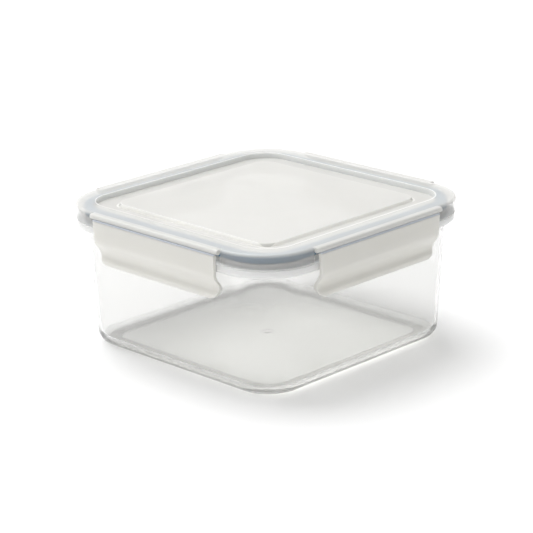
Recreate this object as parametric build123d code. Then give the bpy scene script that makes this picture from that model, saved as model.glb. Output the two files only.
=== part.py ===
"""Square airtight food container: clear tub, translucent lid, soft seal, four latches on living hinges.

Millimetres, +Z up. Origin at the centre of the underside, so the foot stands on z = 0.
The front is -Y and the right side is +X. Every wall is the same on all four sides.
"""
import os
from build123d import *

# Tub walls
tub_h = 65.4
wall_t = 1.6
wall_half_rim = 67.9
wall_r_rim = 22.5
wall_draft = 3.6
wall_r_draft = 3.5
foot_edge_r = 6.0
floor_edge_r = 5.0
floor_t = 1.6
foot_recess_h = 1.0
gate_r = 3.8
gate_h = 0.3
gate_dot_r = 1.4

# Tub flange, a plate with a turned-down lip
rim_stand = 2.1
flange_out = 4.5
flange_t = 1.6
flange_drop = 2.5
flange_bevel = 1.3
flange_edge_r = 0.5

# Seal
seal_w = 5.1
seal_h = 4.3
seal_clear = 0.2
seal_top_clear = 0.1

# Lid
rim_t = 1.2
rim_over_flange = 0.6
rim_edge_r = 1.5
recess_r = 15.0
recess_h = 2.8
lid_t = 1.5
plug_t = 1.2
plug_below_tub_top = 0.8
gutter_w = 10.2
panel_r = 7.0
panel_h = 1.5
panel_draft = 0.4
panel_t = 1.4
stack_clear = 0.7
channel_t = 1.2
channel_clear = 1.0
channel_below_tub_top = 0.4
skirt_t = 1.4
skirt_clear = 0.6
skirt_straight = 2.1

# Latch
latch_t = 1.7
latch_clear = 0.9
latch_end_gap = 2.4
latch_h = 22.0
latch_bend_drop = 0.2
latch_waist_up = 4.7
latch_wall_gap = 2.2
latch_lip_up = 1.2
latch_lip_out = 1.1
latch_corner_r = 5.5
latch_narrow = 0.8
rib_clear = 0.45
rib_overlap = 1.4
rib_t = 1.2
rib_sink = 0.3
rib_end_in = 4.7

# Hinge line and bead
bead_r = 1.25
bead_past_latch = 2.0
hinge_r = 0.35
hinge_drop = 2.9
hinge_clear = 0.05

# Heights that follow
taper_top_z = tub_h - rim_stand - flange_t
floor_z = foot_recess_h + floor_t
flange_top_z = taper_top_z + flange_t
flange_low_z = taper_top_z - flange_drop
skirt_low_z = flange_top_z + skirt_clear
rim_low_z = tub_h + seal_h + seal_top_clear
rim_top_z = rim_low_z + rim_t
gutter_z = rim_top_z - recess_h
panel_top_z = gutter_z + panel_h
bead_z = rim_top_z - bead_r
hinge_z = rim_top_z - hinge_drop
latch_top_z = hinge_z - hinge_r - hinge_clear
latch_low_z = hinge_z - latch_h
latch_waist_z = latch_low_z + latch_waist_up

# Widths that follow, each half the size across
wall_half_foot = wall_half_rim - wall_draft
wall_r_foot = wall_r_rim - wall_r_draft
wall_slope = wall_draft / taper_top_z
wall_r_slope = wall_r_draft / taper_top_z
flange_half = wall_half_rim + flange_out
flange_r = wall_r_rim + flange_out
rim_half = flange_half + rim_over_flange
rim_r = flange_r + rim_over_flange
channel_half = wall_half_rim + channel_clear
channel_r = wall_r_rim + channel_clear
plug_half = channel_half - seal_w - 2 * seal_clear
plug_r = recess_r + plug_t
recess_half = plug_half - plug_t
panel_half = recess_half - gutter_w
foot_recess_half = panel_half + stack_clear
foot_recess_r = panel_r + stack_clear
side_half = flange_half + latch_clear + latch_t
bead_c = side_half - bead_r
hinge_c = side_half - hinge_r
waist_c = wall_half_foot + wall_slope * latch_waist_z + latch_wall_gap + latch_t
skirt_gap_half = rim_half - rim_r - skirt_straight
latch_half = skirt_gap_half - latch_end_gap
bead_end = latch_half + bead_past_latch


# Shape helpers
def outline(half, radius, z):
    """Rounded square face at height z."""
    return Pos(0, 0, z) * RectangleRounded(2 * half, 2 * half, radius)


def block(half, radius, z0, z1):
    """Straight rounded-square block."""
    return extrude(outline(half, radius, z0), z1 - z0)


def tapered(half0, r0, z0, half1, r1, z1):
    """Rounded-square block whose size changes from z0 to z1."""
    return loft([outline(half0, r0, z0), outline(half1, r1, z1)], ruled=True)


def ring(half_out, r_out, half_in, r_in, z0, z1):
    """Rounded-square ring with straight walls."""
    return block(half_out, r_out, z0, z1) - block(half_in, r_in, z0 - 1, z1 + 1)


def bar(points, half_len):
    """Bar along X from a profile of (distance from centre, height), set on the front side."""
    face = make_face(Polyline([(0, -c, z) for c, z in points], close=True))
    return Pos(-half_len, 0, 0) * extrude(face, 2 * half_len, dir=(1, 0, 0))


def rod(c, z, radius, half_len):
    """Round bar along X on the front side."""
    return Pos(0, -c, z) * Rot(0, 90, 0) * Cylinder(radius, 2 * half_len)


def on_side(shape, index):
    """Turn a front-side shape to side 0 front, 1 right, 2 back, 3 left."""
    return Rot(0, 0, 90 * index) * shape


def edges_at(shape, z, tol=0.01):
    """Edges that lie wholly at height z."""
    return shape.edges().filter_by(
        lambda e: abs(e.bounding_box().min.Z - z) < tol and abs(e.bounding_box().max.Z - z) < tol
    )


# Tub: tapered shell, rim, flange with turned-down lip, foot recess and gate mark
def make_tub():
    shell = tapered(wall_half_foot, wall_r_foot, 0, wall_half_rim, wall_r_rim, taper_top_z)
    shell = fillet(edges_at(shell, 0), foot_edge_r)
    shell += block(wall_half_rim, wall_r_rim, taper_top_z, tub_h)
    plate = block(flange_half, flange_r, flange_low_z, flange_top_z)
    plate = fillet(edges_at(plate, flange_top_z), flange_edge_r)
    plate = chamfer(edges_at(plate, flange_low_z), flange_bevel)
    pocket = block(flange_half - flange_t, flange_r - flange_t, flange_low_z - 1, taper_top_z)
    shell += plate - pocket
    inner_half = wall_half_foot + wall_slope * floor_z - wall_t
    inner_r = wall_r_foot + wall_r_slope * floor_z - wall_t
    room = tapered(inner_half, inner_r, floor_z, wall_half_rim - wall_t, wall_r_rim - wall_t, taper_top_z)
    room = fillet(edges_at(room, floor_z), floor_edge_r)
    room += block(wall_half_rim - wall_t, wall_r_rim - wall_t, taper_top_z, tub_h + 1)
    shell -= room
    shell -= block(foot_recess_half, foot_recess_r, -1, foot_recess_h)
    gate = Cylinder(gate_r, gate_h) - Cylinder(gate_dot_r, gate_h)
    shell -= Pos(0, 0, foot_recess_h + gate_h / 2) * gate
    return shell


# Lid: raised panel, gutter, rim, plug wall, seal channel, corner skirts and side beads
def make_lid():
    low = tub_h - plug_below_tub_top
    lid = block(rim_half, rim_r, skirt_low_z, rim_top_z)
    lid = fillet(edges_at(lid, rim_top_z), rim_edge_r)
    lid -= block(rim_half - skirt_t, rim_r - skirt_t, skirt_low_z - 1, rim_low_z)
    gap_z = (skirt_low_z + rim_low_z) / 2
    gap = Pos(0, 0, gap_z) * Box(2 * skirt_gap_half, 4 * rim_half, rim_low_z - skirt_low_z)
    lid -= gap
    lid -= Rot(0, 0, 90) * gap
    lid += block(plug_half, plug_r, low, rim_low_z)
    lid += ring(channel_half + channel_t, channel_r + channel_t, channel_half, channel_r,
                tub_h - channel_below_tub_top, rim_low_z)
    lid -= block(recess_half, recess_r, gutter_z, rim_top_z + 1)
    lid -= block(recess_half, recess_r, low - 1, gutter_z - lid_t)
    lid += tapered(panel_half + panel_draft, panel_r + panel_draft, gutter_z,
                   panel_half - panel_draft, panel_r - panel_draft, panel_top_z)
    in_half = panel_half - panel_draft - panel_t
    lid -= block(in_half, panel_r - panel_draft - panel_t, low - 1, panel_top_z - panel_t)
    neck = [(bead_c - bead_r, bead_z), (bead_c - bead_r, hinge_z + hinge_r + hinge_clear),
            (hinge_c - hinge_r + hinge_clear, hinge_z + hinge_r + hinge_clear), (bead_c + 0.8, bead_z - 0.6),
            (bead_c, bead_z)]
    deck = [(rim_half - 2 * rim_edge_r, rim_low_z), (bead_c, rim_low_z), (bead_c, rim_top_z),
            (rim_half - 2 * rim_edge_r, rim_top_z)]
    side = rod(bead_c, bead_z, bead_r, bead_end) + bar(neck, latch_half) + bar(deck, bead_end)
    for i in range(4):
        lid += on_side(side, i)
    return lid


# Seal: soft ring that fills the channel and rests on the tub's rim
def make_seal():
    out_half = channel_half - seal_clear
    in_half = plug_half + seal_clear
    return ring(out_half, channel_r - seal_clear, in_half, plug_r + seal_clear, tub_h, tub_h + seal_h)


# Latch: flap with an S-shaped wall, a lip and a locking rib
def make_latch():
    c = side_half
    bend = flange_low_z - latch_bend_drop
    lip_z = latch_low_z + latch_lip_up
    lip_c = waist_c + latch_lip_out

    def side_line(shift):
        down = [(0, 0, -1), (0, 0, -1)]
        s_curve = Spline([(0, -c + shift, bend), (0, -waist_c + shift, latch_waist_z)], tangents=down,
                         tangent_scalars=[1.2, 1.0])
        flare = Spline([(0, -waist_c + shift, latch_waist_z), (0, -lip_c + shift, lip_z)], tangents=down)
        return [Line((0, -c + shift, latch_top_z), (0, -c + shift, bend)), s_curve, flare,
                Line((0, -lip_c + shift, lip_z), (0, -lip_c + shift, latch_low_z))]

    ends = [Line((0, -c, latch_top_z), (0, -c + latch_t, latch_top_z)),
            Line((0, -lip_c, latch_low_z), (0, -lip_c + latch_t, latch_low_z))]
    face = make_face(Wire.combine([*side_line(0), *side_line(latch_t), *ends])[0].edges())
    flap = Pos(-latch_half, 0, 0) * extrude(face, 2 * latch_half, dir=(1, 0, 0))
    low_half = latch_half - latch_narrow
    front_view = make_face(Polyline([(-latch_half, 0, latch_top_z + 1), (latch_half, 0, latch_top_z + 1),
                                     (low_half, 0, latch_low_z), (-low_half, 0, latch_low_z)], close=True))
    mask = extrude(front_view, 2 * side_half, dir=(0, -1, 0))
    mask = fillet(mask.edges().filter_by(Axis.Y).sort_by(Axis.Z)[:2], latch_corner_r)
    flap = flap & mask
    bevel_c = flange_half - flange_bevel
    tip_c = flange_half - rib_overlap
    root_c = side_half - latch_t + rib_sink
    tip_z = flange_low_z - rib_clear
    root_z = tip_z + root_c - bevel_c
    rib = bar([(tip_c, tip_z), (bevel_c, tip_z), (root_c, root_z), (root_c, tip_z - 2 * rib_t),
               (tip_c, tip_z - rib_t)], latch_half - rib_end_in)
    return flap + rib


# Hinge line: thin round strip on the hinge axis
def make_hinge():
    return rod(hinge_c, hinge_z, hinge_r, latch_half)


def save(shape, name):
    solids = shape.solids()
    print(f"{name}: {len(solids)} solid, {shape.volume / 1000:.2f} cm3")
    export_step(solids[0] if len(solids) == 1 else shape, f"parts/{name}.step")


os.makedirs("parts", exist_ok=True)
save(make_tub(), "tub")
save(make_lid(), "lid")
save(make_seal(), "seal")
latch = make_latch()
hinge = make_hinge()
for number, side_name in enumerate(("front", "right", "back", "left")):
    save(on_side(latch, number), f"latch_{side_name}")
    save(on_side(hinge, number), f"hinge_{side_name}")
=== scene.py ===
# %% [markdown]
# # A clear food container with a milky clip-on lid
# The tub is one clear moulding that tapers to its foot. The lid is one milky moulding with four latches
# on living hinges, and a soft blue seal sits in a channel under its rim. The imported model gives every
# shape its place and size. This lesson gives the tub and the seal a smooth skin, because light that bends
# through a surface shows every facet, and gives each plastic its finish.


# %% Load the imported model
import math

import bpy
from mathutils import Matrix, Vector


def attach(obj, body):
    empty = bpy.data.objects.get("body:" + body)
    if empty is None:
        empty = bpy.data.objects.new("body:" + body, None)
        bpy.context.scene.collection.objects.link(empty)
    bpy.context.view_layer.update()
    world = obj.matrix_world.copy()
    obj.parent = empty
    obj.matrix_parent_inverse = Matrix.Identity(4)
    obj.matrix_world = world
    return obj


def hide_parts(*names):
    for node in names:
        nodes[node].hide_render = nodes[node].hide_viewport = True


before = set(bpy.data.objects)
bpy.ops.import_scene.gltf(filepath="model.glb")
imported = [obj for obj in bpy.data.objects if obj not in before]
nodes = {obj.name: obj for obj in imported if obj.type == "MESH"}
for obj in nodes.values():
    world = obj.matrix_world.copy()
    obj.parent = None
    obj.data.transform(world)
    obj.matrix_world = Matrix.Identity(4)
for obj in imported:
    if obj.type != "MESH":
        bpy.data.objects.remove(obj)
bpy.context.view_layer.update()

MM = 0.001
SIDES = ("front", "right", "back", "left")
print("packed nodes:", ", ".join(sorted(nodes)))


# %% [markdown]
# ## Wiring nodes
# Shapes and finishes here are both node trees. They could be built by hand in the editor, but a script
# can be read and run again. One helper adds a node, sets it up and feeds its inputs, from a number or
# from another node's output, so that each tree below reads as a list of steps.


# %% Helpers that add a node
def add(tree, kind, feeds=None, **settings):
    """Add a node, set its properties, and feed its inputs with values or with other nodes' outputs."""
    node = tree.nodes.new(kind)
    for key, value in settings.items():
        setattr(node, key, value)
    for key, value in (feeds or {}).items():
        if isinstance(value, bpy.types.NodeSocket):
            tree.links.new(value, node.inputs[key])
        else:
            node.inputs[key].default_value = value
    return node


def calc(tree, operation, *values):
    """The result of a Math node."""
    return add(tree, "ShaderNodeMath", dict(enumerate(values)), operation=operation).outputs[0]


def vector_calc(tree, operation, *values, result="Vector"):
    """The result of a Vector Math node."""
    return add(tree, "ShaderNodeVectorMath", dict(enumerate(values)), operation=operation).outputs[result]


# %% [markdown]
# ## A skin from a profile
# The tub and the seal follow one rule: every level is a square with rounded corners. A lathe can't make
# that, and a plain sweep would keep one corner radius. So the profile is drawn as a line of points that
# hold three sizes each: half the width, how far the corner's centre is from the middle, and the height.
# Geometry Nodes turns that line into a skin in four steps. The first names the tree's inputs.


# %% The tree's inputs and output
TREE_INPUTS = (
    ("Profile", "Geometry"), ("Corner Steps", "Int"), ("Rounding Steps", "Int"),
    ("Straight Lead", "Float"), ("Finish", "Material"),
)


def new_tree(name):
    """An empty tree with its sockets, and the outputs of its input node."""
    tree = bpy.data.node_groups.new(name, "GeometryNodeTree")
    for label, kind in TREE_INPUTS:
        tree.interface.new_socket(label, in_out="INPUT", socket_type=f"NodeSocket{kind}")
    tree.interface.new_socket("Skin", in_out="OUTPUT", socket_type="NodeSocketGeometry")
    return tree, add(tree, "NodeGroupInput").outputs


print("inputs:", ", ".join(label for label, kind in TREE_INPUTS))


# %% [markdown]
# ## Round the profile
# A moulded part has no knife edges, so nearly every point of the profile gets a small rounding. Each
# point carries its own radius, and Fillet Curve puts an arc in its place. The result becomes a mesh line,
# because its points can then be looked up by number.


# %% Round the profile
def rounded_line(tree, given):
    """The profile as a mesh line, with a small arc at each point that has a radius."""
    feeds = {
        "Curve": given["Profile"], "Count": given["Rounding Steps"],
        "Radius": add(tree, "GeometryNodeInputRadius").outputs[0], "Limit Radius": True,
    }
    rounded = add(tree, "GeometryNodeFilletCurve", feeds, mode="POLY").outputs[0]
    return add(tree, "GeometryNodeCurveToMesh", {"Curve": rounded}).outputs[0]


# %% [markdown]
# ## Count along the ring
# A grid gives the skin its faces: one row for each point of the line, and one column for each step round
# the ring. A ring has four quarters. Each is a corner arc with one extra point before it and one after
# it, which keeps the shading of the flat sides flat. The last column lies on the first and is merged.


# %% A grid with its steps counted
QUARTERS = 4
END_POINTS = 3  # the arc's last point, and the extra point at each end


def counted_grid(tree, given, line):
    """A grid, and for each of its points the row, the quarter of the ring and the step in that quarter."""
    rows = add(tree, "GeometryNodeAttributeDomainSize", {"Geometry": line}).outputs["Point Count"]
    quarter_len = calc(tree, "ADD", given["Corner Steps"], END_POINTS)
    ring_len = calc(tree, "MULTIPLY", quarter_len, QUARTERS)
    size = {"Vertices X": calc(tree, "ADD", ring_len, 1), "Vertices Y": rows}
    grid = add(tree, "GeometryNodeMeshGrid", size).outputs["Mesh"]
    index = add(tree, "GeometryNodeInputIndex").outputs[0]
    row = calc(tree, "MODULO", index, rows)
    column = calc(tree, "FLOOR", calc(tree, "DIVIDE", index, rows))
    column = calc(tree, "MODULO", column, ring_len)
    quarter = calc(tree, "FLOOR", calc(tree, "DIVIDE", column, quarter_len))
    step = calc(tree, "SUBTRACT", calc(tree, "MODULO", column, quarter_len), 1)
    return grid, row, quarter, step


print("points in a quarter: its corner steps and", END_POINTS, "more")


# %% [markdown]
# ## Bend each row into a rounded square
# A corner's centre lies on the diagonal, and the arc turns round it by a quarter. So a point's place is
# the centre, plus the radius in the direction of the arc, plus a small slide along the side for the
# extra point at each end. The same sum serves X and Y, with cosine and sine changing places.


# %% Place of a point on its ring
def slide_along(tree, given, centre, step):
    """How far a point lies past the end of its arc, along the flat side."""
    lead = calc(tree, "MINIMUM", given["Straight Lead"], calc(tree, "MULTIPLY", centre, 0.5))
    before = calc(tree, "MINIMUM", step, 0)
    after = calc(tree, "MAXIMUM", calc(tree, "SUBTRACT", step, given["Corner Steps"]), 0)
    return calc(tree, "MULTIPLY", lead, calc(tree, "ADD", before, after))


def ring_place(tree, given, line, row, quarter, step):
    """The place of each grid point, from the three sizes that its row's profile point holds."""
    spot = add(tree, "GeometryNodeInputPosition").outputs[0]
    feeds = {"Geometry": line, "Value": spot, "Index": row}
    sizes = add(tree, "GeometryNodeSampleIndex", feeds, data_type="FLOAT_VECTOR", domain="POINT").outputs[0]
    half, centre, height = add(tree, "ShaderNodeSeparateXYZ", {0: sizes}).outputs
    share = calc(tree, "DIVIDE", step, given["Corner Steps"])
    share = calc(tree, "MINIMUM", calc(tree, "MAXIMUM", share, 0), 1)
    angle = calc(tree, "MULTIPLY", calc(tree, "ADD", quarter, share), math.pi / 2)
    diagonal = calc(tree, "MULTIPLY", calc(tree, "ADD", quarter, 0.5), math.pi / 2)
    reach = calc(tree, "MULTIPLY", centre, math.sqrt(2))
    radius = calc(tree, "SUBTRACT", half, centre)
    slide = slide_along(tree, given, centre, step)

    def axis(diagonal_part, arc_part, side_part):
        turned = calc(tree, "MULTIPLY_ADD", reach, diagonal_part, calc(tree, "MULTIPLY", radius, arc_part))
        return calc(tree, "MULTIPLY_ADD", slide, side_part, turned)

    cos, sin = calc(tree, "COSINE", angle), calc(tree, "SINE", angle)
    x = axis(calc(tree, "COSINE", diagonal), cos, calc(tree, "MULTIPLY", sin, -1))
    y = axis(calc(tree, "SINE", diagonal), sin, cos)
    return add(tree, "ShaderNodeCombineXYZ", {0: x, 1: y, 2: height}).outputs[0]


# %% [markdown]
# ## Put the tree together
# The grid's points move to their places, and Merge by Distance closes the seam and the two middles. The
# tree ends in Realize Instances and Set Material, so that what it makes is real mesh with its finish.


# %% The finished tree
MERGE_WITHIN = 1e-6


def skin_tree():
    tree, given = new_tree("rounded_square_skin")
    line = rounded_line(tree, given)
    grid, row, quarter, step = counted_grid(tree, given, line)
    place = ring_place(tree, given, line, row, quarter, step)
    skin = add(tree, "GeometryNodeSetPosition", {"Geometry": grid, "Position": place}).outputs[0]
    skin = add(tree, "GeometryNodeMergeByDistance", {"Geometry": skin, "Distance": MERGE_WITHIN}).outputs[0]
    skin = add(tree, "GeometryNodeSetShadeSmooth", {"Geometry": skin}).outputs[0]
    skin = add(tree, "GeometryNodeRealizeInstances", {"Geometry": skin}).outputs[0]
    skin = add(tree, "GeometryNodeSetMaterial", {"Geometry": skin, "Material": given["Finish"]}).outputs[0]
    add(tree, "NodeGroupOutput", {"Skin": skin})
    return tree


skin_rule = skin_tree()
print("skin tree:", len(skin_rule.nodes), "nodes")


# %% [markdown]
# ## From a profile to a mesh
# The tree runs as a modifier on the profile's curve. Its inputs are set by each socket's identifier before
# the first evaluation, and then the result is kept as a plain mesh and the curve is removed. The
# Weighted Normal modifier lets the large faces rule the shading, so flat walls stay flat beside a
# rounding.


# %% Turn a profile into a piece
LARGE_FACE_RULE = 80


def profile_curve(name, points):
    """A line of (half width, corner centre, height, rounding) points, given in millimetres."""
    curve = bpy.data.curves.new(name, "CURVE")
    curve.dimensions = "3D"
    spline = curve.splines.new("POLY")
    spline.points.add(len(points) - 1)
    for point, (half, centre, height, rounding) in zip(spline.points, points):
        point.co = (half * MM, centre * MM, height * MM, 1)
        point.radius = rounding * MM
    obj = bpy.data.objects.new(name + "_profile", curve)
    bpy.context.scene.collection.objects.link(obj)
    return obj


def run_tree(obj, tree, name, **inputs):
    """Run a tree on an object and keep the result as a plain mesh piece."""
    mod = obj.modifiers.new(tree.name, "NODES")
    mod.node_group = tree
    for socket in tree.interface.items_tree:
        key = socket.name.lower().replace(" ", "_")
        if key in inputs:
            mod[socket.identifier] = inputs[key]
    mesh = bpy.data.meshes.new_from_object(obj.evaluated_get(bpy.context.evaluated_depsgraph_get()))
    obj.modifiers.clear()
    bpy.data.objects.remove(obj)
    mesh.name = name
    piece = bpy.data.objects.new(name, mesh)
    bpy.context.scene.collection.objects.link(piece)
    even = piece.modifiers.new("even_normals", "WEIGHTED_NORMAL")
    even.weight = LARGE_FACE_RULE
    print(f"{name}: {len(mesh.vertices)} points, {len(mesh.polygons)} faces")
    return piece


# %% [markdown]
# ## Finishes
# Every finish starts from Blender's Principled shader. A value that is the same all over is set on the
# shader's own socket, and only what changes over the surface is wired.


# %% Start and end a finish
def new_finish(name):
    mat = bpy.data.materials.new(name)
    mat.use_nodes = True
    return mat, mat.node_tree, mat.node_tree.nodes["Principled BSDF"]


def set_up(shader, **values):
    for key, value in values.items():
        shader.inputs[key.replace("_", " ").title().replace("Ior", "IOR")].default_value = value


def made(mat):
    print(f"finish {mat.name}: {len(mat.node_tree.nodes)} nodes")
    return mat


# %% [markdown]
# ## Patterns in the object's own space
# Real plastic is never quite even. Noise in Object coordinates stays with the piece when it moves, where
# a pattern tied to the picture would slide. Two small helpers map a pattern onto a range of numbers or
# onto two colours.


# %% Helpers for patterns
def object_place(tree):
    return add(tree, "ShaderNodeTexCoord").outputs["Object"]


def noise(tree, scale, detail=2.0):
    """Noise from 0 to 1, with its scale in repeats per metre."""
    feeds = {"Vector": object_place(tree), "Scale": scale, "Detail": detail}
    return add(tree, "ShaderNodeTexNoise", feeds).outputs[0]


def spread(tree, value, low, high, start=0.3, end=0.7):
    """Map start to end softly onto low to high. The usual start and end are noise's middle range."""
    feeds = {0: value, 1: start, 2: end, 3: low, 4: high}
    return add(tree, "ShaderNodeMapRange", feeds, interpolation_type="SMOOTHSTEP").outputs[0]


def tint(tree, value, low, high):
    """A colour between two colours by a value from 0 to 1."""
    feeds = {0: value, 6: (*low, 1), 7: (*high, 1)}
    return add(tree, "ShaderNodeMix", feeds, data_type="RGBA").outputs[2]


def uneven(tree, scale, detail, strength, depth):
    """A bump from noise, with its depth in metres."""
    feeds = {"Height": noise(tree, scale, detail), "Strength": strength, "Distance": depth}
    return add(tree, "ShaderNodeBump", feeds)


# %% [markdown]
# ## Where on the moulding
# A finish often changes from one part of a moulding to the next. Painting a mask would need an unwrapped
# mesh. Instead the finish measures how far a place is from a rounded square, which is the same rule that
# shaped the mouldings, so one number tells the panel from the rim and the skirt.


# %% Distance from a rounded square
def square_distance(tree, half, radius):
    """Distance outwards from a rounded square with the given sizes in millimetres, in metres."""
    centre = (half - radius) * MM
    flat = vector_calc(tree, "MULTIPLY", vector_calc(tree, "ABSOLUTE", object_place(tree)), (1, 1, 0))
    past = vector_calc(tree, "SUBTRACT", flat, (centre, centre, 0))
    outside = vector_calc(tree, "LENGTH", vector_calc(tree, "MAXIMUM", past, (0, 0, 0)), result="Value")
    parts = add(tree, "ShaderNodeSeparateXYZ", {0: past}).outputs
    inside = calc(tree, "MINIMUM", calc(tree, "MAXIMUM", parts[0], parts[1]), 0)
    return calc(tree, "SUBTRACT", calc(tree, "ADD", outside, inside), radius * MM)


def height_above_floor(tree):
    return add(tree, "ShaderNodeSeparateXYZ", {0: object_place(tree)}).outputs[2]


# %% [markdown]
# ## See-through plastics and shadows
# A clear solid in Cycles throws a hard black shadow, because rays that look for a lamp can't bend. Real
# plastic bends the light round and the shadow stays pale. Tracing that takes very many samples, so for
# those rays alone the plastic is only a pale film: each surface passes the film's share of the light.


# %% Let light through to what lies behind
def let_light_by(tree, shader, film):
    """Send the shader to the output, with a film in its place for rays that look for a lamp."""
    rays = add(tree, "ShaderNodeLightPath")
    clear = add(tree, "ShaderNodeBsdfTransparent", {"Color": film})
    feeds = {0: rays.outputs["Is Shadow Ray"], 1: shader, 2: clear.outputs[0]}
    mix = add(tree, "ShaderNodeMixShader", feeds)
    tree.links.new(mix.outputs[0], tree.nodes["Material Output"].inputs["Surface"])


# %% [markdown]
# ## Haze of the clear tub
# The tub is clear, but not equally so. The floor's middle is finely frosted from the mould, the flange
# is thick, and the foot gathers light along its bend, so all three look milky beside the walls. Each is
# found by its height and by the distance from the floor's flat square.


# %% Haze of the tub
FLOOR_HALF, FLOOR_R, FLOOR_TOP = 52.7, 7.7, 3.0
FLANGE_LOW, FLANGE_HIGH = 59.0, 64.8
FOOT_LOW, FOOT_HIGH = 1.0, 4.0
FLOOR_HAZE, FLANGE_HAZE, FOOT_HAZE = 0.16, 0.65, 0.3


def tub_haze(tree, height, on_floor):
    inside = calc(tree, "LESS_THAN", square_distance(tree, FLOOR_HALF, FLOOR_R), 0)
    floor = calc(tree, "MULTIPLY", calc(tree, "MULTIPLY", on_floor, inside), FLOOR_HAZE)
    above = calc(tree, "GREATER_THAN", height, FLANGE_LOW * MM)
    below = calc(tree, "LESS_THAN", height, FLANGE_HIGH * MM)
    flange = calc(tree, "MULTIPLY", calc(tree, "MULTIPLY", above, below), FLANGE_HAZE)
    foot = spread(tree, height, FOOT_HAZE, 0, start=FOOT_LOW * MM, end=FOOT_HIGH * MM)
    foot = calc(tree, "MULTIPLY", foot, calc(tree, "SUBTRACT", 1, inside))
    return calc(tree, "MAXIMUM", calc(tree, "MAXIMUM", floor, flange), foot)


print("haze: floor", FLOOR_HAZE, "flange", FLANGE_HAZE, "foot", FOOT_HAZE)


# %% [markdown]
# ## Clear tub
# The tub is injection-moulded from a glossy plastic. The real one bends light about as much as glass
# does. Here the value is lower, because at the full one each edge draws a heavy dark line that the
# photograph doesn't have. The polish isn't perfect either: the melt leaves faint ripples a few
# centimetres apart, and handling leaves a thin, uneven gloss. Both are noise, too weak to see as a pattern.


# %% Finish of the tub
WALL_CLEARNESS = 0.92
WALL_FILM, FLOOR_FILM = (0.58, 0.58, 0.575), (0.97, 0.97, 0.96)


def clear_plastic():
    mat, tree, shader = new_finish("clear_tub")
    set_up(shader, base_color=(0.94, 0.94, 0.935, 1), ior=1.33)
    gloss = spread(tree, noise(tree, scale=90, detail=3), low=0.02, high=0.06)
    tree.links.new(gloss, shader.inputs["Roughness"])
    ripple = uneven(tree, scale=35, detail=1, strength=0.02, depth=0.2 * MM)
    tree.links.new(ripple.outputs[0], shader.inputs["Normal"])
    height = height_above_floor(tree)
    on_floor = calc(tree, "LESS_THAN", height, FLOOR_TOP * MM)
    clear = calc(tree, "SUBTRACT", WALL_CLEARNESS, tub_haze(tree, height, on_floor))
    tree.links.new(clear, shader.inputs["Transmission Weight"])
    let_light_by(tree, shader.outputs[0], tint(tree, on_floor, WALL_FILM, FLOOR_FILM))
    return made(mat)


tub_finish = clear_plastic()


# %% [markdown]
# ## Soft blue seal
# The seal is a soft rubber ring. It is matt, with a fine grain, and its blue is a little uneven. Nothing
# shows through it, so it needs no film. Its blue is deeper here than it looks in the picture, because it
# is seen through the milky lid.


# %% Finish of the seal
def soft_rubber():
    mat, tree, shader = new_finish("blue_seal")
    set_up(shader, roughness=0.55, ior=1.43)
    patches = spread(tree, noise(tree, scale=120, detail=3), low=0, high=1)
    blue = tint(tree, patches, (0.08, 0.22, 0.37), (0.10, 0.25, 0.41))
    tree.links.new(blue, shader.inputs["Base Color"])
    grain = uneven(tree, scale=2500, detail=2, strength=0.3, depth=0.1 * MM)
    tree.links.new(grain.outputs[0], shader.inputs["Normal"])
    return made(mat)


seal_finish = soft_rubber()


# %% [markdown]
# ## Where the lid shows what is behind it
# The thin skirts at the corners show the blue seal most, the flat rim shows it faintly, and the thick
# panel and the beads hide it. The walls of the channel that holds the seal lie behind the skirt. Each
# would dim the seal once more, so they are made nearly clear, and only the outer skin counts.


# %% How much shows through the lid
RECESS_HALF, RECESS_R = 62.2, 15.0
WALL_HALF = 0.6
RIM_TOP, RIM_BEND_START, RIM_BEND_END = 71.0, 0.3, 1.8
BEAD_OUT, BEAD_END = 71.5, 43.2
SKIRT_HALF, SKIRT_R, SKIRT_WALL, CHANNEL_TOP = 73.0, 27.6, 2.2, 70.2
PANEL_SHARE, RIM_SHARE, WALL_SHARE, SKIRT_SHARE, HIDDEN_SHARE = 0.06, 0.26, 0.08, 0.66, 0.9


def bead_mask(tree, x, y):
    """1 on the beads that carry the latches, from the distances to the lid's two middle lines."""
    far_out = calc(tree, "GREATER_THAN", calc(tree, "MAXIMUM", x, y), BEAD_OUT * MM)
    beside = calc(tree, "LESS_THAN", calc(tree, "MINIMUM", x, y), BEAD_END * MM)
    return calc(tree, "MULTIPLY", far_out, beside)


def channel_mask(tree, out, height):
    """1 on the surfaces between the recess wall and the skirt, below the rim."""
    past_wall = calc(tree, "GREATER_THAN", out, WALL_HALF * MM)
    in_skirt = calc(tree, "LESS_THAN", square_distance(tree, SKIRT_HALF, SKIRT_R), -SKIRT_WALL * MM)
    below = calc(tree, "LESS_THAN", height, CHANNEL_TOP * MM)
    return calc(tree, "MULTIPLY", calc(tree, "MULTIPLY", past_wall, in_skirt), below)


# %% [markdown]
# ## One share for the whole lid
# The masks are put together with a small helper that picks one of two values. Over the bend between rim
# and skirt the share changes softly, so no line shows there. Where two rules meet, the larger share wins.


# %% Put the shares together
def between(tree, mask, low, high):
    """low where the mask is 0 and high where it is 1."""
    return calc(tree, "MULTIPLY_ADD", mask, calc(tree, "SUBTRACT", high, low), low)


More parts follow.
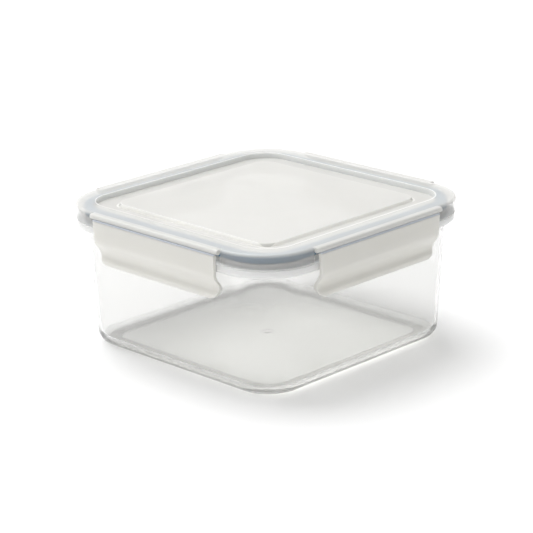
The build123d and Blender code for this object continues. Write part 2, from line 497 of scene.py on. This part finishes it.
def lid_share(tree):
    """The share of what lies behind that shows through, from 0 to 1."""
    out = square_distance(tree, RECESS_HALF, RECESS_R)
    place = vector_calc(tree, "ABSOLUTE", object_place(tree))
    x, y, z = add(tree, "ShaderNodeSeparateXYZ", {0: place}).outputs
    bend_start, bend_end = (RIM_TOP - RIM_BEND_START) * MM, (RIM_TOP - RIM_BEND_END) * MM
    skirt = spread(tree, z, RIM_SHARE, SKIRT_SHARE, start=bend_start, end=bend_end)
    skirt = between(tree, calc(tree, "LESS_THAN", out, WALL_HALF * MM), skirt, WALL_SHARE)
    on_rim = calc(tree, "GREATER_THAN", out, -WALL_HALF * MM)
    see = calc(tree, "MULTIPLY", on_rim, calc(tree, "SUBTRACT", 1, bead_mask(tree, x, y)))
    hidden = calc(tree, "MULTIPLY", channel_mask(tree, out, z), HIDDEN_SHARE)
    return calc(tree, "MAXIMUM", between(tree, see, PANEL_SHARE, skirt), hidden)


print("shares: panel", PANEL_SHARE, "rim", RIM_SHARE, "skirt", SKIRT_SHARE)


# %% [markdown]
# ## Light and dark on the lid
# Light that soaks into the lid comes out again at its steep thin steps, so the recess wall and the
# panel's edge get a painted glow: their colour is made paler than their slope would make them. Low on
# the skirt less light arrives from inside, so the colour there gets a painted shade. Both are written
# as one factor for the lid's colour.


# %% Painted glow and shade of the lid
GUTTER_W, EDGE_HALF = 10.2, 0.5
# painted glow: how much paler the recess wall and the panel's edge are made
PAINTED_STEP_GLOW = 0.3
# painted shade: the skirt's colour darkens from the upper height down to the lower one
SKIRT_PAINTED_SHADE, SKIRT_PAINTED_SHADE_FULL_BELOW, SKIRT_PAINTED_SHADE_GONE_ABOVE = 0.72, 65.5, 69.5


def lid_painted_glow_and_shade(tree):
    low, high = SKIRT_PAINTED_SHADE_FULL_BELOW * MM, SKIRT_PAINTED_SHADE_GONE_ABOVE * MM
    # painted shade, darker low on the skirt
    painted_glow_and_shade = spread(tree, height_above_floor(tree), SKIRT_PAINTED_SHADE, 1, start=low, end=high)
    out = square_distance(tree, RECESS_HALF, RECESS_R)
    # painted glow on the recess wall and on the panel's edge
    wall = calc(tree, "COMPARE", out, 0, WALL_HALF * MM)
    panel_edge = calc(tree, "COMPARE", out, -GUTTER_W * MM, EDGE_HALF * MM)
    return calc(tree, "MULTIPLY_ADD", calc(tree, "MAXIMUM", wall, panel_edge), PAINTED_STEP_GLOW, painted_glow_and_shade)


# %% [markdown]
# ## Milky plastic
# The lid's plastic is cloudy: light goes in, scatters and comes out a few millimetres away, which is
# what subsurface scattering does. A real cloudy block can also be made with a volume, but that is slow
# and noisy. So the surface is mixed with a clear one by a share, and the clear part shows what lies close
# behind. Inner faces are left wholly clear, or each wall would be seen twice. A Bevel node softens the
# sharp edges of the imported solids, and a fine grain breaks up the gloss.


# %% Finish of the lid and the latches
SCATTER = {"subsurface_weight": 0.8, "subsurface_radius": (1.0, 1.0, 0.95), "subsurface_scale": 2.5 * MM}
CLOUD_DARKER = 0.985
GLOSS_RANGE = (0.34, 0.44)
EDGE_ROUND = 0.4 * MM


def milky_colour(tree, pale, painted_glow_and_shade):
    cloud = spread(tree, noise(tree, scale=28, detail=3), low=0, high=1)
    colour = tint(tree, cloud, [part * CLOUD_DARKER for part in pale], pale)
    # the lid's painted glow and shade multiply its colour
    return vector_calc(tree, "MULTIPLY", colour, painted_glow_and_shade(tree)) if painted_glow_and_shade else colour


def milky_plastic(name, pale, film, share, painted_glow_and_shade=None):
    """share is a number or a function of the tree; the painted glow and shade come from a function of the
    tree or nothing.
    """
    mat, tree, shader = new_finish(name)
    set_up(shader, ior=1.5, **SCATTER)
    tree.links.new(milky_colour(tree, pale, painted_glow_and_shade), shader.inputs["Base Color"])
    gloss = spread(tree, noise(tree, scale=60, detail=4), *GLOSS_RANGE)
    tree.links.new(gloss, shader.inputs["Roughness"])
    grain = uneven(tree, scale=900, detail=1, strength=0.05, depth=0.02 * MM)
    edge = add(tree, "ShaderNodeBevel", {"Radius": EDGE_ROUND}, samples=4)
    tree.links.new(edge.outputs[0], grain.inputs["Normal"])
    tree.links.new(grain.outputs[0], shader.inputs["Normal"])
    behind = add(tree, "ShaderNodeBsdfTransparent", {"Color": (0.97, 0.97, 0.97, 1)})
    inner = add(tree, "ShaderNodeNewGeometry").outputs["Backfacing"]
    see = calc(tree, "MAXIMUM", share(tree) if callable(share) else share, inner)
    mix = add(tree, "ShaderNodeMixShader", {0: see, 1: shader.outputs[0], 2: behind.outputs[0]})
    let_light_by(tree, mix.outputs[0], film)
    return made(mat)


# the lid's colour carries a painted glow and a painted shade
lid_finish = milky_plastic("milky_lid", (0.645, 0.64, 0.618), (0.82, 0.82, 0.81, 1), lid_share, lid_painted_glow_and_shade)
latch_finish = milky_plastic("milky_latch", (0.745, 0.735, 0.695), (0.5, 0.5, 0.48, 1), 0.06)


# %% [markdown]
# ## Hinge lines
# Each latch folds on a thin web of the lid's own plastic, which shows as a fine grey-blue line. A line
# this thin shows no pattern, so a colour that wanders a little is enough.


# %% Finish of the hinge lines
def hinge_web():
    mat, tree, shader = new_finish("hinge_line")
    set_up(shader, roughness=0.4)
    grey_blue = tint(tree, noise(tree, scale=300), (0.50, 0.53, 0.60), (0.58, 0.61, 0.67))
    tree.links.new(grey_blue, shader.inputs["Base Color"])
    return made(mat)


hinge_finish = hinge_web()


# %% [markdown]
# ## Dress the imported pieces
# The lid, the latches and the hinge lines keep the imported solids' own meshes, which are as exact as
# they need to be. Only their finish changes.


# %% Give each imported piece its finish
def dress(node_name, mat):
    mesh = nodes[node_name].data
    mesh.materials.clear()
    mesh.materials.append(mat)


dress("lid", lid_finish)
for side in SIDES:
    dress(f"latch_{side}", latch_finish)
    dress(f"hinge_{side}", hinge_finish)
print("dressed: lid,", len(SIDES), "latches and", len(SIDES), "hinge lines")


# %% [markdown]
# ## Profile of the tub
# The list goes once round the cut wall: out along the underside, up the outside, round the flange, and
# back down the inside to the middle of the floor. In this order the faces point outwards. The walls lean
# outwards by 3.6 mm, which lets the tub slide out of its mould and lets empty tubs nest. One profile for
# both faces of the wall keeps them parallel, so what is seen through it bends only at the corners.


# %% Profile of the tub
tub_h, floor_z, foot_recess_h = 65.4, 2.6, 1.0
TUB = [
    (0, 0, foot_recess_h, 0),  # middle of the underside
    (1.4, 0, foot_recess_h, 0),  # dot that the mould's gate leaves
    (1.4, 0, 1.3, 0.1),
    (3.8, 0, 1.3, 0.1),  # ring-shaped groove round the dot
    (3.8, 0, foot_recess_h, 0),
    (52.7, 45.0, foot_recess_h, 0.4),  # recess under the floor
    (52.7, 45.0, 0, 0.4),  # foot
    (64.3, 45.3, 0, 6.0),
    (67.9, 45.4, 61.7, 0.4),  # top of the wall, inside the flange
    (70.8, 45.4, 61.7, 0.4),
    (70.8, 45.4, 59.2, 0.1),  # lower edge of the flange
    (71.1, 45.4, 59.2, 0.3),
    (72.4, 45.4, 60.5, 0.4),
    (72.4, 45.4, 63.3, 0.5),  # upper edge of the flange
    (67.9, 45.4, 63.3, 0.4),
    (67.9, 45.4, tub_h, 0.5),  # rim
    (66.3, 45.4, tub_h, 0.5),
    (66.3, 45.4, 61.7, 0),
    (62.85, 45.3, floor_z, 5.0),  # rounded edge of the floor
    (0, 0, floor_z, 0),  # middle of the floor
]
print(f"tub profile: {len(TUB)} points, {tub_h} mm high")


# %% [markdown]
# ## Profile of the seal
# The seal sits in the lid's channel and stands on the tub's rim. Its inner corners are tighter than an
# even width would make them, so the ring is a little narrower in the corners than along the sides. The
# profile starts and ends at the same point, which closes the ring.


# %% Profile of the seal
seal_h, seal_out, seal_in = 4.3, 68.7, 63.6
seal_mid = (seal_out + seal_in) / 2
out_centre, mid_centre, in_centre = 45.4, 46.3, 47.2
SEAL = [
    (seal_mid, mid_centre, tub_h, 0),
    (seal_out, out_centre, tub_h, 1.0),
    (seal_out, out_centre, tub_h + seal_h, 1.0),
    (seal_in, in_centre, tub_h + seal_h, 1.0),
    (seal_in, in_centre, tub_h, 1.0),
    (seal_mid, mid_centre, tub_h, 0),
]
print(f"seal profile: {seal_out - seal_in:.1f} mm wide, {seal_h} mm high")


# %% [markdown]
# ## Tub and seal
# Both profiles go through the same Geometry Nodes tree. The tub gets more steps in each corner than the
# seal, because its clear corners show a flat facet sooner. Each skin then takes the place of the packed
# solid with the same outline, and moves with the body it belongs to: the seal travels with the lid.


# %% Tub and seal
LEAD = 1.5 * MM
tub_skin = run_tree(profile_curve("tub", TUB), skin_rule, "tub_skin", corner_steps=24, rounding_steps=6,
                    straight_lead=LEAD, finish=tub_finish)
seal_skin = run_tree(profile_curve("seal", SEAL), skin_rule, "seal_skin", corner_steps=20, rounding_steps=5,
                     straight_lead=LEAD, finish=seal_finish)
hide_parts("tub")
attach(tub_skin, "tub")
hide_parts("seal")
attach(seal_skin, "lid")
for piece in (tub_skin, seal_skin):
    print(piece.name, "size in mm:", [round(side / MM, 1) for side in piece.dimensions])


# %% [markdown]
# ## Floor
# The container stands on a plain white surface without an edge. One large square is enough, because
# nothing but the soft shadow is seen on it. It is part of the stage, so it isn't counted as the object.


# %% Floor
FLOOR_REACH = 6.0


def pale_floor():
    mat, tree, shader = new_finish("pale_floor")
    set_up(shader, base_color=(0.93, 0.93, 0.93, 1), roughness=0.9)
    mesh = bpy.data.meshes.new("floor")
    turns = ((-1, -1), (1, -1), (1, 1), (-1, 1))
    corners = [(x * FLOOR_REACH, y * FLOOR_REACH, 0) for x, y in turns]
    mesh.from_pydata(corners, [], [(0, 1, 2, 3)])
    mesh.materials.append(mat)
    floor = bpy.data.objects.new("floor", mesh)
    bpy.context.scene.collection.objects.link(floor)


pale_floor()
print(f"floor: {2 * FLOOR_REACH:.0f} m square")


# %% [markdown]
# ## White room
# A milky lid and a clear tub need light from all round, or their edges turn black. Many lamps could give
# it, but a white room is simpler and has no gaps. It is brighter above and to the left, because in the
# photograph the left latch is paler than the right one.


# %% White room
ROOM_DIM, ROOM_BRIGHT = 0.2, 0.78
BRIGHT_SIDE = (-0.6, -0.35, 0.7)


def white_room():
    world = bpy.data.worlds.new("studio")
    world.use_nodes = True
    tree = world.node_tree
    way = add(tree, "ShaderNodeTexCoord").outputs["Generated"]
    lean = vector_calc(tree, "DOT_PRODUCT", way, Vector(BRIGHT_SIDE).normalized(), result="Value")
    glow = spread(tree, lean, ROOM_DIM, ROOM_BRIGHT, start=-0.9, end=0.9)
    tree.links.new(glow, tree.nodes["Background"].inputs["Strength"])
    tree.nodes["Background"].inputs["Color"].default_value = (1, 1, 1, 1)
    bpy.context.scene.world = world


white_room()
print(f"room: brightness {ROOM_DIM} to {ROOM_BRIGHT}")


# %% [markdown]
# ## Main lamp
# One large round lamp, high on the left and a little behind the tub, makes the shadow. The shadow is soft
# because the lamp is wide, and a smaller lamp would draw a hard edge. The lamp is far away, so the floor
# is lit evenly right across the picture.


# %% Main lamp
LAMP_PLACE, LAMP_AIM = Vector((-1.9, 0.2, 4.0)), Vector((0, 0, 0.04))
LAMP_SIZE, LAMP_POWER = 3.6, 165
lamp_data = bpy.data.lights.new("key", "AREA")
lamp_data.shape = "DISK"
lamp_data.size = LAMP_SIZE
lamp_data.energy = LAMP_POWER
lamp = bpy.data.objects.new("key", lamp_data)
lamp.location = LAMP_PLACE
lamp.rotation_euler = (LAMP_AIM - LAMP_PLACE).to_track_quat("-Z", "Y").to_euler()
bpy.context.scene.collection.objects.link(lamp)
bpy.context.scene.view_settings.view_transform = "Standard"
print(f"lamp: {LAMP_SIZE} m wide, {(LAMP_PLACE - LAMP_AIM).length:.1f} m away")


# %% [markdown]
# ## Camera
# The photograph was taken with a long lens, a little above the lid and almost exactly at a corner. The
# angle around, the angle above the floor and the small tilt of the horizon were measured from the edges
# of the rim. The lens and the distance together set the size of the object and how its sides converge.
# This cell works out where the camera is and which way it faces.


# %% Camera
AZ, EL, ROLL = (math.radians(angle) for angle in (44.8, 18.22, -1.05))
DISTANCE = 1.005
SENSOR, PHOTO_SIDE, LENS_IN_PIXELS = 36, 533, 2060
LENS = LENS_IN_PIXELS / PHOTO_SIDE * SENSOR
SHIFT_RIGHT, AIM_Z = -0.0002, 0.0357
back = Vector((math.sin(AZ) * math.cos(EL), -math.cos(AZ) * math.cos(EL), math.sin(EL)))
level = Vector((math.cos(AZ), math.sin(AZ), 0))
rise = back.cross(level)
right = level * math.cos(ROLL) + rise * math.sin(ROLL)
up = -level * math.sin(ROLL) + rise * math.cos(ROLL)
spot = level * SHIFT_RIGHT + Vector((0, 0, AIM_Z)) + back * DISTANCE
print("camera at", [round(part, 3) for part in spot], "m")


# %% [markdown]
# ## The camera itself
# A camera could be turned with three angles, but their order is easy to get wrong. Here its matrix is
# filled in directly: the columns are its right, its up, the way back from the object, and its place.


# %% Put the camera there
cam_data = bpy.data.cameras.new("camera")
cam_data.lens = LENS
cam_data.sensor_width = SENSOR
camera = bpy.data.objects.new("camera", cam_data)
columns = (right, up, back, spot)
camera.matrix_world = Matrix([[column[i] for column in columns] for i in range(3)] + [(0, 0, 0, 1)])
bpy.context.scene.collection.objects.link(camera)
bpy.context.scene.camera = camera
print(f"lens: {LENS:.0f} mm, {DISTANCE} m from the container")
